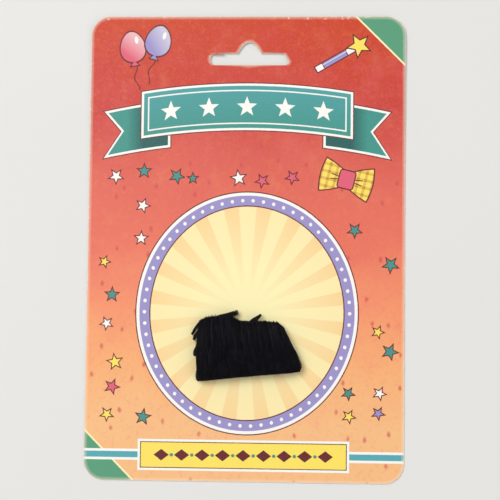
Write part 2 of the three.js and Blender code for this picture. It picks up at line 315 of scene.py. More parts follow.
class Shade:
    """An output of a node. Arithmetic on it adds Math nodes, and node() adds a node of any other kind."""

    __add__ = joined("ADD")[0]
    __sub__, __rsub__ = joined("SUBTRACT")
    __mul__ = joined("MULTIPLY")[0]
    __truediv__, __rtruediv__ = joined("DIVIDE")
    __pow__ = joined("POWER")[0]
    least = joined("MINIMUM")[0]
    most = joined("MAXIMUM")[0]

    def __init__(self, tree, socket=None):
        self.tree = tree
        self.socket = socket

    def node(self, kind, sockets, output=0, **settings):
        """One output of a new node of that kind. Its settings come first, then its sockets."""
        made = self.tree.nodes.new("ShaderNode" + kind)
        for name, value in settings.items():
            setattr(made, name, value)
        for name, value in sockets.items():
            plug(value, made.inputs[name])
        return Shade(self.tree, made.outputs[output])

    def math(self, operation, *values, clamp=False):
        return self.node("Math", dict(enumerate(values)), operation=operation, use_clamp=clamp)

    def __abs__(self):
        return self.math("ABSOLUTE", self)

    def held(self):
        """The value, held between 0 and 1."""
        return self.math("ADD", self, 0.0, clamp=True)

    def past(self, level, gain):
        """How far the value is past that level, times gain, held between 0 and 1."""
        return ((self - level) * gain).held()

    def short_of(self, level, gain):
        """How far the value falls short of that level, times gain, held between 0 and 1."""
        return ((level - self) * gain).held()

    def length(self, other):
        """The length of the vector (self, other)."""
        return self.math("SQRT", self * self + other * other)

    def part(self, index):
        """One number of a vector: 0, 1 or 2 for its x, y or z."""
        return self.node("SeparateXYZ", {0: self}, index)

    def ramp(self, stops, steps="LINEAR"):
        """The colour at this value on a ramp of stops, each a place from 0 to 1 and its colour."""
        made = self.tree.nodes.new("ShaderNodeValToRGB")
        elements = made.color_ramp.elements
        for index, (place, colour) in enumerate(stops):
            stop = elements[index] if index < 2 else elements.new(place)
            stop.position, stop.color = place, colour
        made.color_ramp.interpolation = steps
        plug(self, made.inputs[0])
        return Shade(self.tree, made.outputs[0])

    def mix(self, under, over):
        """The colour under where this mask is 0, and over where it is 1."""
        return self.node("Mix", {0: self, 6: under, 7: over}, 2, data_type="RGBA")

    def inside(self):
        """1 inside a printed shape and 0 outside, from its signed distance in mm."""
        return (0.5 - self / INK_SPREAD).held()


def new_material(name):
    """An empty material, its Principled shader, and the place on the piece, in mm."""
    material = bpy.data.materials.new(name)
    material.use_nodes = True
    tree = material.node_tree
    tree.nodes.clear()
    surface = tree.nodes.new("ShaderNodeBsdfPrincipled")
    result = tree.nodes.new("ShaderNodeOutputMaterial")
    tree.links.new(surface.outputs[0], result.inputs["Surface"])
    place = Shade(tree).node("TexCoord", {}, 3)
    return material, surface, place.node("VectorMath", {0: place, "Scale": 1 / MM}, operation="SCALE")


def wire(surface, **values):
    """Sets or links sockets of a Principled shader. An underscore in a name stands for a space."""
    for name, value in values.items():
        plug(value, surface.inputs[name.replace("_", " ")])


def noise(place, size, detail=2.0, roughness=0.5):
    """Noise from 0 to 1 whose lumps are about size mm wide."""
    sockets = {"Vector": place, "Scale": 1 / size, "Detail": detail, "Roughness": roughness}
    return place.node("TexNoise", sockets)


def read_values(place, name):
    """The numbers that keep_values put on the piece under that name."""
    return place.node("Attribute", {}, 2, attribute_name=name)


def relief(height, strength):
    """The normal of a surface with that height in mm."""
    return height.node("Bump", {"Strength": strength, "Distance": MM, "Height": height})


def inked(colour, *layers):
    """The colour with inks printed over it in turn. Each layer is a shape's signed distance and its ink."""
    for shape, ink in layers:
        colour = shape.inside().mix(colour, ink)
    return colour


def star(x, y, tip, waist, turn):
    """Signed distance to a five-pointed star. Folding the angle to a tenth of a turn leaves one straight
    side, from the tip (tip, 0) to the notch at 36 degrees, and the distance is to that line."""
    side = math.pi / 5
    notch_x, notch_y = waist * math.cos(side), waist * math.sin(side)
    long = math.hypot(tip - notch_x, notch_y)
    reach = x.length(y)
    folded = x.math("PINGPONG", x.math("ARCTAN2", y, x) - turn, side)
    along = reach * x.math("COSINE", folded) - tip
    aside = reach * x.math("SINE", folded)
    return along * (notch_y / long) + aside * ((tip - notch_x) / long)


def ground(x, y, place):
    """The coral ground: a ramp up the card, airbrushed patches, a fine mottle, and slanted red flecks."""
    fleck_cell, fleck_radius, fleck_ink = 13.5, 1.2, 0.72
    up = (y + CARD_HEIGHT / 2 / MM) / (CARD_HEIGHT / MM)
    patches, ragged = noise(place, 26.0, 1.0), noise(place, 1.6, 2.0)
    places = [0.0, 0.13, 0.25, 0.37, 0.505, 0.645, 0.8, 1.0]
    colours = [MAIZE, MAIZE, APRICOT, PEACH, ORANGE_PINK, CORAL, CORAL_DEEP, BRICK]
    colour = (up + (patches - 0.5) * 0.12).ramp(zip(places, colours))
    off_the_ends = (up * 1.1 + 0.12).held() * up.short_of(1.04, 6.0)
    pinker = noise(place, 13.0, 3.0, 0.6).past(0.46, 2.4) * off_the_ends
    colour = (pinker * 0.4).mix(colour, ROSE)
    sunnier = noise(place, 8.0, 3.0, 0.6).past(0.52, 2.5)
    colour = (sunnier * 0.2).mix(colour, APRICOT)
    mottle = noise(place, 1.9, 3.0, 0.65)
    colour = mottle.short_of(0.5, 1.1).mix(colour, ROSE)
    colour = mottle.past(0.5, 0.7).mix(colour, PEACH)
    slant = {"Vector": place, "Rotation": (0.0, 0.0, 0.3), "Scale": (1.2, 0.78, 0.0)}
    net = {"Vector": x.node("Mapping", slant), "Scale": 1 / fleck_cell, "Randomness": 0.9}
    flecks = x.node("TexVoronoi", net, voronoi_dimensions="2D")
    fleck = ((fleck_radius - flecks * fleck_cell + (ragged - 0.5) * 1.2) * 1.1).held()
    return (fleck * fleck_ink).mix(colour, FLECK_RED)


def room_for_star(x, y):
    """How far a star's centre lies outside everything else that is printed, and inside the margins. The
    slot, the balloons, the bow tie and the wand each have a box that is kept clear."""
    to_side, to_end, to_corner, round_oval, oval_gain = 61.0, 89.5, 132.0, 4.5, 40.0
    ribbon_middle, ribbon_half, foot_band_half = 51.5, 18.0, 9.5
    margin = (to_side - abs(x)).least(to_end - abs(y)).least(to_corner - abs(x + y))
    half_width, half_height = (half + round_oval for half in OVAL_HALF_SIZE)
    oval = ((x - OVAL_MIDDLE[0]) / half_width).length((y - OVAL_MIDDLE[1]) / half_height)
    room = margin.least((oval - 1.0) * oval_gain).least(abs(y - ribbon_middle) - ribbon_half)
    room = room.least(abs(y - FOOT_BAND_RISE) - foot_band_half)
    for middle_x, middle_y, half_width, half_height in KEPT_CLEAR:
        room = room.least((abs(x - middle_x) - half_width).most(abs(y - middle_y) - half_height))
    return room


def confetti(x, y, place, colour):
    """One small star in each cell of a Voronoi net that has room. The cell's random colour gives its size,
    its turn and its ink."""
    cell, columns_right, tip, waist, outline, left_out = 12.2, 2.5, 2.35, 1.0, 0.42, 0.26
    shifted = x.node("VectorMath", {0: place, 1: (columns_right, 0.0, 0.0)}, operation="SUBTRACT")
    net = {"Vector": shifted, "Scale": 1 / cell, "Randomness": 0.6}
    chance, centre = (x.node("TexVoronoi", net, output, voronoi_dimensions="2D") for output in (1, 2))
    middle_x, middle_y = centre.part(0) + columns_right, centre.part(1)
    size, turn, pick = (x.node("SeparateColor", {0: chance}, channel) for channel in range(3))
    size = size * 0.5 + 0.72
    one = star((x - middle_x) / size, (y - middle_y) / size, tip, waist, turn * TWO_PI) * size
    inks = [(0.0, SUN_YELLOW), (0.24, PAPER_WHITE), (0.4, TEAL), (0.62, STAR_PINK), (0.82, LAVENDER)]
    has_room = x.math("GREATER_THAN", room_for_star(middle_x, middle_y), 0.0)
    shown = has_room * x.math("GREATER_THAN", turn, left_out)
    colour = ((one - outline).inside() * shown).mix(colour, MAROON)
    return (one.inside() * shown).mix(colour, pick.ramp(inks, "CONSTANT"))


def oval_panel(x, y, colour):
    """The panel behind the moustache: a lavender ring with white dots, between white and maroon lines, and a
    cream field with pale rays. The distance to an ellipse is (q - 1) / |grad q|, and slope is q |grad q|."""
    rays, dots, dots_in, dot_radius = 20, 62, 3.7, 0.7
    white_in, ring_in, line_in, field_in = 0.45, 1.7, 5.7, 6.15
    half_width, half_height = OVAL_HALF_SIZE
    x, y = x - OVAL_MIDDLE[0], y - OVAL_MIDDLE[1]
    q = (x / half_width).length(y / half_height)
    slope = (x / half_width**2).length(y / half_height**2).most(1e-4)
    away = q * (q - 1.0) / slope
    angle = x.math("ARCTAN2", y, x)
    ray = x.math("PINGPONG", angle, math.pi / rays) * (rays / math.pi)
    in_ray = ray.past(0.5, q * 14.0 + 0.5) * q.past(0.16, 1.3)
    field = q.past(0.35, 1.3).mix(CREAM, CREAM_DEEP)
    field = (in_ray * 0.44).mix(field, RAY_ORANGE)
    ring_angle = x.math("ARCTAN2", y / half_height, x / half_width)
    along_ring = x.math("PINGPONG", ring_angle, math.pi / dots) * ((half_width + half_height) / 2 - dots_in)
    dot = along_ring.length(away + dots_in) - dot_radius
    colour = inked(colour, (away, MAROON), (away + white_in, PAPER_WHITE), (away + ring_in, LAVENDER))
    return inked(colour, (dot, PAPER_WHITE), (away + line_in, MAROON), (away + field_in, field))


def ribbon(x, y, colour):
    """A blank ribbon on a shallow arc: a body, and two swallow-tailed ends that come out from behind it."""
    arc, half_body, half_height, border, outline = 520.0, 42.0, 8.6, 0.95, 1.35
    line_in, half_line, spacing, stars_across = 1.9, 0.28, 15.5, 5
    tail_from, tail_reach, tail_drop, shadow = 32.0, 56.5, 5.2, 7.0
    over = y - RIBBON_RISE + x * x / arc
    side = abs(x)
    body = (side - half_body).most(abs(over) - half_height)
    lower = abs(over + tail_drop)
    notch = side - tail_reach + (half_height - lower) * 0.75
    tail = notch.most(lower - half_height).most(tail_from - side)
    fold = ((half_body + shadow - side) / shadow).held()
    sheen = ((over + half_height) / (2 * half_height)).held()
    for part, ink in [(tail, fold.mix(TEAL, TEAL_DARK)), (body, (sheen * 0.55).mix(TEAL, TEAL_BLUE))]:
        colour = inked(colour, (part - outline, MAROON), (part - border, PAPER_WHITE), (part, ink))
    line = abs(body + line_in) - half_line
    local = x.math("WRAP", x, spacing / 2, -spacing / 2)
    stars = star(local, over, 4.3, 1.8, math.pi / 2).most(side - stars_across / 2 * spacing)
    return inked(colour, (line, PAPER_WHITE), (stars, PAPER_WHITE))


def foot_band(x, y, colour):
    """A teal band with white borders across the card, and on it a yellow plate with maroon lozenges."""
    half_band, border, half_plate, half_height, spacing = 1.2, 1.0, 41.0, 4.9, 8.2
    half_lozenge, bead_radius, lozenges_until, beads_until = 2.3, 0.7, 4.5, 4.2
    over = y - FOOT_BAND_RISE
    band = abs(over) - half_band
    plate = (abs(x) - half_plate).most(abs(over) - half_height)
    lozenge = x.math("PINGPONG", x, spacing / 2) * 0.75 + abs(over) - half_lozenge
    lozenge = lozenge.most(abs(x) - lozenges_until * spacing)
    bead = x.math("PINGPONG", x + spacing / 2, spacing / 2).length(over) - bead_radius
    bead = bead.most(abs(x) - beads_until * spacing)
    colour = inked(colour, (band - border, PAPER_WHITE), (band, TEAL_BLUE))
    colour = inked(colour, (plate - 1.3, PAPER_WHITE), (plate - 0.35, MAROON), (plate, SUN_YELLOW))
    return inked(colour, (lozenge, MAROON), (bead, TEAL))


def corner_flash(x, y, colour):
    """A green corner with a cream line, at the upper right and again at the lower left."""
    reach, line = 138.5, 0.7
    across = (reach - abs(x + y)) * math.sqrt(0.5)
    return inked(colour, (across - line, CREAM), (across, LEAF_GREEN))


def turned(x, y, centre, degrees):
    """x and y measured from centre along axes turned by that many degrees."""
    x, y = x - centre[0], y - centre[1]
    cos, sin = math.cos(math.radians(degrees)), math.sin(math.radians(degrees))
    return x * cos + y * sin, y * cos - x * sin


def bow_tie(x, y, colour):
    """A yellow bow tie with a tan check: two wings that widen outwards from a round-cornered knot."""
    wing_length, waist, flare, check, knot_width, knot_height = 10.5, 2.2, 0.44, 1.5, 2.1, 2.6
    side = abs(x)
    fullness = x.math("SINE", side * (math.pi / wing_length)) * 0.5
    wing = (abs(y) - side * flare - waist - fullness).most(side - wing_length + y * y * 0.02)
    knot = (side - knot_width).most(0.0).length((abs(y) - knot_height).most(0.0)) - 0.9
    bars = x.math("PINGPONG", x, check) - check * 0.62
    cross_bars = x.math("PINGPONG", y, check) - check * 0.62
    colour = inked(colour, (wing - 0.55, MAROON), (wing, SUN_YELLOW))
    checked = bars.inside() * 0.5 + cross_bars.inside() * 0.5
    colour = (wing.inside() * (1.0 - checked) * 0.9).mix(colour, TAN)
    fold = abs(abs(y) - side * 0.16) - 0.22
    colour = (fold.most(side - 6.5).inside() * wing.inside()).mix(colour, MAROON)
    return inked(colour, (knot - 0.5, MAROON), (knot, STAR_PINK))


def balloon(x, y, ink, colour):
    """A party balloon: an oval that narrows to a knot, with a shine and a string that waves as a sine."""
    half_width, half_height, string = 5.0, 6.2, 12.0
    narrow = 1.0 - y / half_height * 0.16
    body = (x / (narrow * half_width)).length(y / half_height) * half_width - half_width
    below = 0.0 - y - half_height
    knot = (abs(x) - below * 0.8 - 0.3).most(below - 1.5).most(-0.5 - below)
    wave = x.math("SINE", below * 0.7) * 0.8
    line = (abs(x - wave) - 0.22).most(0.0 - below).most(below - string)
    outline = body.least(knot)
    shade = ((x + y) * 0.09 + 0.5).held()
    shine = (((x - 1.9) / 0.75).length((y - 2.6) / 1.5) - 1.0) * 0.75
    colour = inked(colour, (line, MAROON), (outline - 0.5, MAROON))
    return inked(colour, (outline, (shade * 0.45).mix(ink, PAPER_WHITE)), (shine, PAPER_WHITE))


def wand(x, y, colour):
    """A conjuror's wand: a rod with white ends and a thin shine, and a yellow star past its far end."""
    half_length, half_width, bare_length, star_past = 8.6, 1.1, 5.4, 2.6
    rod = (abs(x) - half_length).most(abs(y) - half_width)
    ends = rod.most(bare_length - abs(x))
    shine = (abs(y - 0.45) - 0.16).most(abs(x) - half_length)
    joins = (abs(abs(x) - bare_length) - 0.22).most(rod)
    head = star(x - half_length - star_past, y, 4.4, 2.0, 0.3)
    colour = inked(colour, (rod - 0.5, MAROON), (rod, LAVENDER), (ends, PAPER_WHITE), (joins, MAROON))
    colour = (shine.inside() * 0.7).mix(colour, PAPER_WHITE)
    return inked(colour, (head - 0.5, MAROON), (head, SUN_YELLOW))


def printed_front():
    """The print from its ground up, and then its wear: a pale rim, bare chips and rubbed spots."""
    material, surface, place = new_material("printed_card_front")
    slip, up_card = (noise(place, 0.9, 1.0) - 0.5) * 0.12, place.part(1)
    x, y = place.part(0) + slip, up_card + slip
    colour = ground(x, y, place)
    colour = confetti(x, y, place, colour)
    colour = corner_flash(x, y, colour)
    colour = balloon(*turned(x, y, LEFT_BALLOON, 8), STAR_PINK, colour)
    colour = balloon(*turned(x, y, RIGHT_BALLOON, -14), LAVENDER, colour)
    colour = bow_tie(*turned(x, y, BOW_TIE_MIDDLE, -14), colour)
    colour = wand(*turned(x, y, WAND_MIDDLE, 30), colour)
    colour = oval_panel(x, y, colour)
    colour = foot_band(x, y, colour)
    colour = ribbon(x, y, colour)
    grain = noise(place, 0.35, 3.0, 0.7)
    colour = grain.past(0.57, 0.6).mix(colour, PAPER_WHITE)
    from_edge = read_values(place, "cut_edge_mm")
    chips = noise(place, 1.3, 4.0, 0.7)
    ragged_edge = from_edge - (chips - 0.5) * 0.5
    rim, pale_margin = ragged_edge.short_of(0.42, 6.0), ragged_edge.short_of(1.35, 1.8)
    worn = ((chips * 2.6 - 1.25 - from_edge) * 4.0).held()
    near_the_top = (up_card / 30.0 - 2.2).held()
    rubbed = noise(place, 2.6, 2.0).past(0.63, 12.0) * from_edge.short_of(1.5, 1.2) * near_the_top
    bare = worn.most(rubbed)
    colour = (rim * 0.36).mix((pale_margin * 0.24).mix(colour, RIM_CREAM), RIM_CREAM)
    colour = bare.mix(colour, BOARD_WHITE)
    tooth, ripple = noise(place, 0.22, 2.0, 0.6), noise(place, 9.0, 1.0)
    bump = relief(tooth * 0.004 + ripple * 0.03 - bare * 0.02, 0.5)
    roughness = bare * 0.35 + grain * 0.08 + 0.4
    wire(surface, Base_Color=colour, Roughness=roughness, Normal=bump, IOR=1.46, Specular_IOR_Level=0.3)
    return material


def stretched(place, scale):
    """The place, scaled by a factor of its own along each axis."""
    return place.node("VectorMath", {0: place, 1: scale}, operation="MULTIPLY")


def bare_board():
    """The board's back and cut edges: pale pulp with yellowed patches, short grey fibres that lie mostly
    along the card, and brown specks. The cut edges show darker layers and are a little grubby."""
    material, surface, place = new_material("bare_board")
    from_edge = read_values(place, "cut_edge_mm")
    fibres = noise(stretched(place, (1.7, 0.6, 1.0)), 0.9, 4.0, 0.7)
    yellowed, specks = noise(place, 34.0, 3.0, 0.6), noise(place, 0.9, 1.0)
    layers = noise(stretched(place, (0.4, 0.4, 9.0)), 1.0, 2.0)
    colour = yellowed.past(0.42, 2.4).mix(BOARD_WHITE, BOARD_YELLOWED)
    colour = fibres.past(0.47, 2.2).mix(colour, PULP_GREY)
    colour = specks.past(0.71, 6.0).mix(colour, PULP_BROWN)
    grubby = from_edge.short_of(2.2, 0.5) * yellowed
    colour = (grubby * 0.35).mix(colour, PULP_GREY)
    on_cut = from_edge.short_of(0.3, 6.0)
    colour = ((layers - 0.45) * 1.2 * on_cut).held().mix(colour, PULP_GREY)
    wire(surface, Base_Color=colour, Roughness=fibres * 0.1 + 0.8, Normal=relief(fibres * 0.05, 0.6))
    return material


printed_card = board_mesh([printed_front(), bare_board()])
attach(printed_card, "root")
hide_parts("backing_card")

# The adhesive pad
# Double-sided tape, 0.4 mm thick, that holds the moustache to the card. It keeps the mesh that the frame has
# for it, and gets a material, because only its edge could be seen.


def tape():
    """Foam tape with a fine open grain."""
    material, surface, place = new_material("adhesive_tape")
    cells = noise(place, 0.5, 3.0, 0.6)
    colour = cells.past(0.4, 1.5).mix(rgb(222, 216, 200), rgb(196, 188, 168))
    wire(surface, Base_Color=colour, Roughness=cells * 0.2 + 0.45, Normal=relief(cells * 0.06, 0.5))
    return material


adhesive_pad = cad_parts["adhesive_pad"]
adhesive_pad.data.materials.clear()
adhesive_pad.data.materials.append(tape())

# The moustache: how its pile lies
# Lines of hair fan out from the top edge down to the clipped edge. Everything of the moustache is worked out
# at a line, 0 at the left edge and 1 at the right, and a place along it, 0 at its root and 1 at the cut end.
PILE_WIDTH = 43.0 * MM
PILE_HEIGHT = 25.4 * MM
PILE_DEPTH = 6.4 * MM
CUT_EDGE_UP = 42.2 * MM
CUT_EDGE_RIGHT = 2.1 * MM
CUT_EDGE_TILT = math.radians(6.4)
CLOTH_THICKNESS = 1.2 * MM
CLOTH_MARGIN = 1.4 * MM
CLOTH_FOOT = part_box("moustache_fur")[0].z
HAIR_LINES = {
    "at": [0.0, 0.12, 0.28, 0.4, 0.48, 0.6, 0.75, 0.88, 0.96, 1.0],
    "root_across": [-0.41, -0.345, -0.21, -0.12, -0.03, 0.085, 0.205, 0.308, 0.35, 0.372],
    "root_up": [0.945, 0.995, 1.0, 0.975, 0.885, 0.852, 0.838, 0.8, 0.74, 0.7],
    "end_across": [-0.475, -0.385, -0.225, -0.11, -0.02, 0.095, 0.24, 0.38, 0.459, 0.488],
    "bow": [-0.016, -0.01, -0.01, 0.0, 0.0, 0.0, 0.003, 0.001, -0.002, -0.003],
    "flare": [0.0, 0.0, 0.0, 0.0, 0.0, 0.0, 0.004, 0.012, 0.018, 0.022],
    "depth": [0.48, 0.86, 1.0, 0.98, 0.92, 0.97, 1.0, 0.85, 0.63, 0.48],
    "reach": [0.995, 1.0, 1.0, 1.0, 1.005, 1.005, 1.015, 1.02, 1.015, 0.93],
}
SIDE_PROFILE = {
    "along": [0.0, 0.12, 0.35, 0.6, 0.85, 1.0],
    "height": [0.42, 0.72, 0.97, 1.0, 0.86, 0.7],
}


def column(name, line):
    """One column of HAIR_LINES, read between its rows."""
    return np.interp(line, HAIR_LINES["at"], HAIR_LINES[name])


def pile_point(line, along):
    """Across and up, in metres from the middle of the cut edge: the straight line from root to end, bowed by
    4 s (1 - s) times the line's bow, and by 27/4 s squared (1 - s) times its flare, which peaks later."""
    held = np.clip(along, 0, 1)
    across = column("root_across", line) * (1 - along) + column("end_across", line) * along
    across = across + 4 * held * (1 - held) * column("bow", line)
    across = across + 6.75 * held**2 * (1 - held) * column("flare", line)
    return across * PILE_WIDTH, column("root_up", line) * (1 - along) * PILE_HEIGHT


def pile_height(line, along):
    """The height of the pile's surface over the cloth."""
    side = np.interp(along, SIDE_PROFILE["along"], SIDE_PROFILE["height"])
    return PILE_DEPTH * column("depth", line) * side


def on_card(across, up, height):
    """Points given across, up and over the cloth's foot, turned by the tilt and put on the card."""
    cos, sin = math.cos(CUT_EDGE_TILT), math.sin(CUT_EDGE_TILT)
    x = CARD_MIDDLE.x + CUT_EDGE_RIGHT + across * cos - up * sin
    y = CARD_LOW.y + CUT_EDGE_UP + across * sin + up * cos
    return np.stack(np.broadcast_arrays(x, y, CLOTH_FOOT + height), axis=-1)


def pile_grid(lines, stations, inset):
    """A grid of places in the pile, inset all round: lines, and stations along each from its end up."""
    side, end = inset / PILE_WIDTH, inset / PILE_HEIGHT
    line, along = np.linspace(side, 1 - side, lines), np.linspace(1 - end, end, stations)
    return np.meshgrid(line, along, indexing="ij")


def slab(name, top, foot, material):
    """A closed piece between two grids of points of the same shape: the upper face, the lower face turned
    over, and a wall of quads round the rim that joins them."""
    rows, columns = top.shape[:2]
    below = rows * columns
    index = np.arange(below).reshape(rows, columns)
    upper = np.stack([index[:-1, :-1], index[1:, :-1], index[1:, 1:], index[:-1, 1:]], axis=-1)
    upper = upper.reshape(-1, 4)
    lower = upper[:, ::-1] + below
    rim = np.concatenate([index[:-1, 0], index[-1, :-1], index[:0:-1, -1], index[0, :0:-1]])
    after = np.roll(rim, -1)
    quads = np.concatenate([upper, lower, np.stack([rim, rim + below, after + below, after], axis=-1)])
    points = np.concatenate([top.reshape(-1, 3), foot.reshape(-1, 3)])
    return put_mesh(name, points, quads.ravel(), np.full(len(quads), 4), [material])


def of_moustache(piece):
    """The piece, put on the only body in place of the moustache's solid."""
    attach(piece, "root")
    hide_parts("moustache_fur")
    return piece


# The moustache: its backing cloth
# A black warp-knitted cloth, 1.2 mm thick, that the pile is fixed in. It is cut a little smaller than the
# pile, which hides it, and it is stuck down flat on the pad.
CLOTH_LINES = 61
CLOTH_STATIONS = 37
CLOTH_GAUGE = 0.8


def knit():
    """Rows of small V-shaped stitches: two slanted sine waves, one for each side of a stitch."""
    material, surface, place = new_material("black_knit_cloth")
    side = place.math("PINGPONG", place.part(0), CLOTH_GAUGE / 2)
    course = place.math("SINE", (place.part(1) + side * 1.2) * (TWO_PI / CLOTH_GAUGE)) * 0.5 + 0.5
    stitch = course * place.math("SINE", side * (TWO_PI / CLOTH_GAUGE))
    fuzz = noise(place, 0.3, 2.0)
    colour = (stitch * 0.6 + fuzz * 0.4).held().mix(rgb(10, 10, 12), rgb(34, 33, 38))
    bump = relief(stitch * 0.15 + fuzz * 0.05, 0.8)
    wire(surface, Base_Color=colour, Roughness=fuzz * 0.1 + 0.8, Normal=bump)
    return material


cloth_line, cloth_along = pile_grid(CLOTH_LINES, CLOTH_STATIONS, CLOTH_MARGIN)
cloth_place = pile_point(cloth_line, cloth_along * column("reach", cloth_line))
cloth_top, cloth_foot = on_card(*cloth_place, CLOTH_THICKNESS), on_card(*cloth_place, 0.0)
backing_cloth = of_moustache(slab("backing_cloth", cloth_top, cloth_foot, knit()))
diagonals = cloth_top[1:, 1:] - cloth_top[:-1, :-1], cloth_top[:-1, 1:] - cloth_top[1:, :-1]
cloth_area = float(np.abs(np.cross(*diagonals)[..., 2]).sum() / 2)
cloth_cut = (PILE_WIDTH - 2 * CLOTH_MARGIN, PILE_HEIGHT - 2 * CLOTH_MARGIN)
cloth_area = min(cloth_area, cloth_cut[0] * cloth_cut[1])

# The moustache: the dense pile next to the cloth
# Down among the roots the black acrylic fibres are packed so closely that they read as one dark body.
DENSE_LINES = 97
DENSE_STATIONS = 49
DENSE_SHARE = 0.7
DENSE_INSET = 1.7 * MM
DENSE_SHOULDER = 3.5 * MM
DENSE_RIB = 0.2 * MM


def fibre():
    """Matt black acrylic: each fibre has a tone of its own, and a few get a painted sheen in charcoal."""
    material, surface, place = new_material("black_acrylic_fibre")
    tone = read_values(place, "tone")
    colour = tone.held().mix(rgb(11, 10, 15), rgb(33, 31, 40))
    # Tones past 1 paint a few fibres charcoal: a painted sheen on the fur.
    colour = tone.past(1.0, 1.0).mix(colour, rgb(70, 67, 79))
    roughness = noise(place, 3.0, 2.0) * 0.12 + 0.55
    wire(surface, Base_Color=colour, Roughness=roughness, IOR=1.4, Specular_IOR_Level=0.25)
    return material


FIBRE = fibre()


def dense_pile():
    """The pile's own surface lowered to a share of its height, and rounded down to its rim by the sine of
    the way in, with ribs sin(90 line + 2 sin(7 along + 11 line)). The foot lies in the cloth."""
    line, along = pile_grid(DENSE_LINES, DENSE_STATIONS, DENSE_INSET)
    place = pile_point(line, along * column("reach", line))
    way_in = np.minimum(
        (np.minimum(line, 1 - line) - DENSE_INSET / PILE_WIDTH) * PILE_WIDTH,
        (np.minimum(along, 1 - along) - DENSE_INSET / PILE_HEIGHT) * PILE_HEIGHT,
    )
    shoulder = np.sin(np.clip(way_in / DENSE_SHOULDER, 0, 1) * np.pi / 2)
    ribs = DENSE_RIB * np.sin(line * 90 + 2.0 * np.sin(along * 7 + line * 11)) * shoulder
    height = CLOTH_THICKNESS + DENSE_SHARE * pile_height(line, along) * shoulder + ribs
    foot = on_card(*place, 0.5 * CLOTH_THICKNESS)
    piece = of_moustache(slab("dense_pile", on_card(*place, height), foot, FIBRE))
    keep_values(piece, "tone", np.zeros(2 * line.size))


dense_pile()

# The moustache: the fibres
# Each fibre leaves the cloth steeply, leans over, and lies down the card on top of those rooted below it.
# They cling together in locks. Those that pass the scissors' cut end there, blunt, and the others taper.
FIBRE_RINGS = 6
FIBRE_SIDES = 3
FIBRE_RADIUS = 0.054 * MM
FIBRES_PER_PIECE = 5500
FIBRE_LENGTH = 0.52
FIBRE_SINK = 0.2 * MM
FIBRE_WAVE = 0.2 * MM
BACK_OVERHANG = 0.1
OVER_RIM_BY = 0.25
LOCK_COLUMNS = 17
LOCK_ROWS = 9
LOCK_KINDS = 997
LOCK_SEEDS = [5, 6, 8]
# The share of fibres painted charcoal as a painted sheen.
PAINTED_SHEEN_SHARE = 0.1
SUNK_SHARE = 0.22
ALONG_FIBRE = np.linspace(0, 1, FIBRE_RINGS)[None, :]
random = np.random.default_rng(24)


def even(count, low=0.0, high=1.0):
    """A column of random numbers spread evenly from low to high."""
    return random.uniform(low, high, (count, 1))


def bell(count):
    """A column of random numbers on the bell curve, round 0 and mostly within 1 of it."""
    return random.normal(0, 1, (count, 1))


def fibre_mesh(name, paths, radii, tones):
    """Closed three-sided tubes, all in one mesh. Round each path point the corners are at path + radius
    (u cos a + v sin a), where u and v are square to the path. Both ends are closed by one triangle."""
    count, rings = paths.shape[:2]
    heading = np.gradient(paths, axis=1)
    heading /= np.linalg.norm(heading, axis=2, keepdims=True) + 1e-12
    aside = np.cross(heading, [0.0, 0.0, 1.0])
    aside += np.array([1e-6, 0.0, 0.0])
    aside /= np.linalg.norm(aside, axis=2, keepdims=True)
    over = np.cross(aside, heading)
    turns = (TWO_PI * np.arange(FIBRE_SIDES) / FIBRE_SIDES)[:, None]
    corners = aside[:, :, None] * np.cos(turns) + over[:, :, None] * np.sin(turns)
    points = paths[:, :, None] + corners * radii[:, :, None, None]
    index = np.arange(count * rings * FIBRE_SIDES).reshape(count, rings, FIBRE_SIDES)
    after = np.roll(index, -1, axis=2)
    walls = np.stack([index[:, :-1], index[:, 1:], after[:, 1:], after[:, :-1]], axis=-1)
    faces = np.concatenate([walls.reshape(count, -1), index[:, 0], index[:, -1, ::-1]], axis=1)
    sizes = np.tile([4] * ((rings - 1) * FIBRE_SIDES) + [3, 3], count)
    piece = of_moustache(put_mesh(name, points.reshape(-1, 3), faces.ravel(), sizes, [FIBRE]))
    keep_values(piece, "tone", np.repeat(tones, rings * FIBRE_SIDES))


def fibre_tones(count):
    """A tone for each fibre: mostly between 0 and 1, which is black, and past 1 for a painted sheen."""
    tones = np.clip(0.35 + 0.3 * bell(count), 0, 1)
    return np.where(even(count) < PAINTED_SHEEN_SHARE, even(count, 1.2, 1.9), tones)


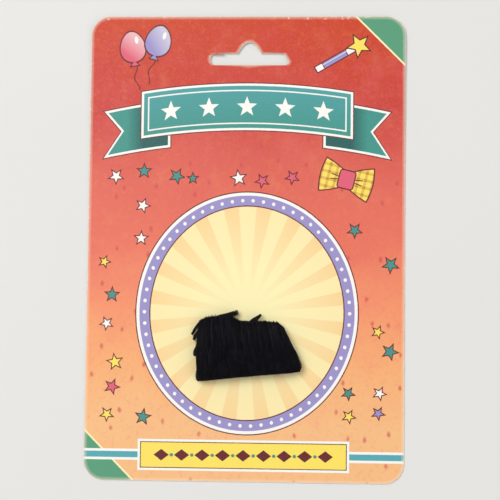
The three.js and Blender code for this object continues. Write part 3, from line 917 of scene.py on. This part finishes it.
def fibres_rooted(low, high, count):
    """Paths, radii and tones of fibres rooted evenly over the cloth between two places along the lines of
    hair. A fibre runs down its line by its length times run to the power 1.2, drifts to the middle of its
    lock as run to the power 1.4, and climbs to the pile's surface, or to a share of it where it stays sunk,
    as run to the power climb. Next to the cloth's rim it swings out over the rim first."""
    lines, alongs = even(count), even(count, low, high)
    row = np.floor(alongs * LOCK_ROWS)
    stagger = 0.5 * (row % 2)
    lock = np.floor(lines * LOCK_COLUMNS + stagger)
    lock_line = (lock + 0.5 - stagger) / LOCK_COLUMNS
    kind = (lock * 7 + row * 131).astype(int) % LOCK_KINDS
    lock_sway, lock_long, lock_lift = (
        np.random.default_rng(seed).normal(0, 1, LOCK_KINDS)[kind] for seed in LOCK_SEEDS
    )
    length = FIBRE_LENGTH * (1 + 0.09 * lock_long + 0.07 * bell(count))
    cut = column("reach", lines) * (1 + 0.005 * bell(count))
    clipped = alongs + length > cut
    run = ALONG_FIBRE * np.clip((cut - alongs) / length, 0.02, 1) ** (1 / 1.2)
    rim_side, rim_end = CLOTH_MARGIN / PILE_WIDTH, CLOTH_MARGIN / PILE_HEIGHT
    root_line = rim_side + lines * (1 - 2 * rim_side)
    root_along = rim_end + alongs * (1 - 2 * rim_end)
    swing = np.clip(run / OVER_RIM_BY, 0, 1)
    swing = swing**2 * (3 - 2 * swing)
    along = alongs + length * run**1.2 + (root_along - alongs) * (1 - swing)
    along = along - BACK_OVERHANG * np.exp(-alongs / 0.05) * np.sin(np.pi * run**0.6)
    along = np.minimum(along, cut)
    gather = (0.6 + 0.12 * bell(count)) * run**1.4
    line = lines + (lock_line - lines) * gather
    line = line + (0.006 * lock_sway + 0.006 * bell(count)) * run
    line = line + (root_line - lines) * (1 - swing)
    climb = np.interp(alongs, [0.0, 0.3], [0.4, 0.62])
    sunk = even(count) < SUNK_SHARE
    level = np.clip(0.98 + 0.035 * lock_lift + 0.04 * bell(count), 0.75, 1.07)
    level = np.where(sunk, even(count, 0.2, 0.95), level)
    height = CLOTH_THICKNESS + pile_height(line, along) * run**climb * level - FIBRE_SINK * (1 - swing)
    across, up = pile_point(line, along)
    across = across + FIBRE_WAVE * bell(count) * np.sin(np.pi * run)
    radius = FIBRE_RADIUS * (1 + 0.15 * bell(count))
    taper = 1 - np.where(clipped, 0.1, 0.72) * run**3
    return on_card(across, up, height), radius * taper, fibre_tones(count)


ROOTED_IN = {
    "upper_fibres": (0.0, 0.22),
    "middle_fibres": (0.22, 0.46),
    "lower_fibres": (0.46, 0.72),
    "clipped_fibres": (0.72, 1.0),
}
for name, (low, high) in ROOTED_IN.items():
    fibre_mesh(name, *fibres_rooted(low, high, FIBRES_PER_PIECE))

# The moustache: the fibres at the rim
# The outermost fibres have no neighbours to stand on, so they flop over the cloth's cut edge and hide it and
# the pad under it. Along the lower edge the scissors cut them off flush with the rest.
RIM_FIBRES = 5000
RIM_SHARES = [0.28, 0.42, 0.15, 0.15]
RIM_SEAT = 1.1 * MM
RIM_TIP_MOST = 2.4 * MM
CARD_CLEARANCE = 0.14 * MM


def rim_fibres():
    """Each runs outwards by s from a root near one side of the cloth. Its height is that of the cloth plus a
    hump of sin(pi s), and falls by s squared towards the height at which its tip hangs over the card."""
    s, count = ALONG_FIBRE, RIM_FIBRES
    side_of = random.choice(4, (count, 1), p=RIM_SHARES)
    back, cut, left, right = (side_of == number for number in range(4))
    place = even(count)
    inset = CLOTH_MARGIN + RIM_SEAT * even(count)
    from_rim = inset - inset * even(count, 0.86, 1.0) * s
    across_in, along_in = from_rim / PILE_WIDTH, from_rim / PILE_HEIGHT
    line = np.where(left, across_in, np.where(right, 1 - across_in, place))
    along = np.where(back, along_in, np.where(cut, 1 - along_in, place))
    drift = 0.02 * bell(count) * s
    line = line + np.where(left | right, 0.0, drift * 0.6)
    along = along + np.where(left | right, (0.05 + drift) * s, 0.0)
    line, along = np.clip(line, 0.002, 0.998), np.minimum(along, 1)
    across, up = pile_point(line, along * column("reach", line))
    hump = even(count, 0.1, 0.9) * MM
    tip_height = even(count) ** 2.6 * RIM_TIP_MOST
    lowest = CARD_LOW.z + CARD_THICKNESS + CARD_CLEARANCE - CLOTH_FOOT
    fall = (lowest + tip_height - CLOTH_THICKNESS) * s**2
    height = CLOTH_THICKNESS - FIBRE_SINK / 2 + hump * np.sin(np.pi * s) + fall
    radius = FIBRE_RADIUS * (1 - 0.45 * s**3) * np.ones((count, 1))
    return on_card(across, up, height), radius, np.clip(0.3 + 0.3 * bell(count), 0, 1)


fibre_mesh("rim_fibres", *rim_fibres())

# The moustache: its stray tufts
# Locks that were brushed or pulled out of line: two point to the right along the top edge, and the others
# stand out at the ragged left side. Single hairs stray all round.
TUFT_FIBRES = 230
TUFT_FRAY = 0.21 * MM
STRAY_FIBRES = 110
TUFTS = {
    "line": [0.27, 0.575, 0.06, 0.02, 0.03, 0.03],
    "along": [0.055, 0.06, 0.03, 0.2, 0.45, 0.8],
    "to_across": [0.179, 0.108, -0.109, -0.058, -0.049, -0.032],
    "to_up": [0.073, 0.128, -0.2, -0.112, -0.13, -0.17],
    "bow": [-0.2, 0.1, -0.3, -0.3, -0.4, -0.2],
    "droop": [0.9, 0.8, 1.2, 1.1, 0.7, 0.5],
    "width": [3.0, 2.2, 1.4, 1.8, 2.6, 2.1],
    "tip": [0.56, 0.16, 0.26, 0.24, 0.3, 0.26],
    "closing": [1.6, 1.6, 0.8, 0.9, 1.0, 1.0],
}


def tuft_fibres(line, along, to_across, to_up, bow, droop, width, tip, closing):
    """Fibres of one tuft. Its axis is the straight line from root to tip, bowed by sin(pi s), and it droops
    by s squared. The fibres stand round it in a disc that closes to its tip share as s to the power closing,
    each of a length of its own, and they stray a little in the middle and more towards the tip."""
    s, hump, count = ALONG_FIBRE, np.sin(np.pi * ALONG_FIBRE), TUFT_FIBRES
    root_across, root_up = pile_point(line, along)
    turn = even(count, 0, TWO_PI)
    out = width / 2 * MM * np.sqrt(even(count))
    reach = s * (1.03 - 0.3 * even(count) ** 2.4)
    to_across, to_up = to_across * PILE_WIDTH, to_up * PILE_HEIGHT
    long = math.hypot(to_across, to_up)
    close = 1 - (1 - tip) * s**closing
    stray = TUFT_FRAY * (0.35 * hump + s**2)
    aside = out * np.cos(turn) * close + bow * MM * hump + bell(count) * stray
    across = root_across + reach * to_across - aside * to_up / long
    up = root_up + reach * to_up + aside * to_across / long
    rise = 0.42 * pile_height(line, along) + 0.15 * MM * hump - droop * MM * s**2
    height = CLOTH_THICKNESS + rise + 0.5 * out * np.sin(turn) * close + bell(count) * stray
    radius = FIBRE_RADIUS * (1 - 0.6 * s**3) * np.ones((count, 1))
    return on_card(across, up, height), radius, fibre_tones(count)


def single_strays():
    """Ordinary fibres that wander off: sideways and up by a share of s squared."""
    paths, radii, tones = fibres_rooted(0.0, 0.9, STRAY_FIBRES)
    wander = random.normal(0, 1, (STRAY_FIBRES, 1, 3)) * np.array([0.9, 0.4, 0.0]) * MM
    lift = np.abs(random.normal(0, 1, (STRAY_FIBRES, 1, 3))) * np.array([0.0, 0.0, 0.35]) * MM
    return paths + (wander + lift) * ALONG_FIBRE[..., None] ** 2, radii * 0.85, tones


tuft_parts = [tuft_fibres(*row) for row in zip(*TUFTS.values())] + [single_strays()]
fibre_mesh("stray_tufts", *(np.concatenate(part) for part in zip(*tuft_parts)))

# The studio
# A plain pale floor that the card lies on, a large soft light from the upper left, a weaker one from the
# right, and a camera almost straight above the card, a little to the right and below its middle.
FLOOR_SIZE = 60.0
AIR_OVERHEAD = 0.34
AIR_AT_HORIZON = 0.8
FLOOR_DROP = 0.02 * MM
FAR_FLOOR_GLOW = 0.42
LAMP_HEIGHT = 1200.0
CAMERA_PLACE = (0.0361, -0.0469, 0.6136)
CAMERA_TURN = (4.293, 3.147, 0.669)
CAMERA_LENS = 110.0


def floor():
    """Lamplight on the floor falls off as (h squared / (h squared + r squared)) squared, for a lamp h mm up
    and a place r mm away. The floor glows by what is missing, and meets the air without a dark band."""
    material, surface, place = new_material("studio_floor")
    colour = (noise(place, 120.0, 2.0) * 0.5).mix(rgb(232, 231, 228), rgb(224, 223, 220))
    x, y = place.part(0), place.part(1)
    lit = LAMP_HEIGHT**2 / (x * x + y * y + LAMP_HEIGHT**2)
    glow = ((1.0 - lit * lit) * FAR_FLOOR_GLOW).mix(rgb(0, 0, 0), rgb(255, 255, 255))
    wire(surface, Base_Color=colour, Roughness=0.75, Emission_Color=glow, Emission_Strength=1.0)
    half, level = FLOOR_SIZE / 2, CARD_LOW.z - FLOOR_DROP
    points = [(-half, -half, level), (half, -half, level), (half, half, level), (-half, half, level)]
    return put_mesh("floor", points, [0, 1, 2, 3], [4], [material])


def soft_light(name, place, size, watts, colour):
    """A square area light at that place, turned to face the card's middle."""
    data = bpy.data.lights.new(name, "AREA")
    data.size, data.energy, data.color = size, watts, colour
    light = put_object(name, data)
    light.location = place
    light.rotation_euler = (-light.location).to_track_quat("-Z", "Y").to_euler()


def studio_air():
    """Pale light from all round, brighter at the horizon by (1 - height) cubed."""
    world = bpy.data.worlds.new("studio_air")
    world.use_nodes = True
    background = world.node_tree.nodes["Background"]
    height = Shade(world.node_tree).node("TexCoord", {}).part(2).held()
    strength = (1.0 - height) ** 3.0 * (AIR_AT_HORIZON - AIR_OVERHEAD) + AIR_OVERHEAD
    plug((0.98, 0.99, 1.0, 1.0), background.inputs["Color"])
    plug(strength, background.inputs["Strength"])
    return world


floor()
soft_light("key_light", (-0.5, 0.35, 1.2), 0.8, 11.2, (1.0, 0.99, 0.975))
soft_light("fill_light", (0.8, -0.4, 0.8), 1.0, 3.5, (0.96, 0.975, 1.0))
scene.world = studio_air()
scene.view_settings.view_transform = "Standard"

camera_data = bpy.data.cameras.new("photo_camera")
camera_data.lens = CAMERA_LENS
camera_data.sensor_width = 36.0
camera_data.clip_start = 0.01
camera = put_object("photo_camera", camera_data)
camera.location = CAMERA_PLACE
camera.rotation_euler = [math.radians(angle) for angle in CAMERA_TURN]
scene.camera = camera
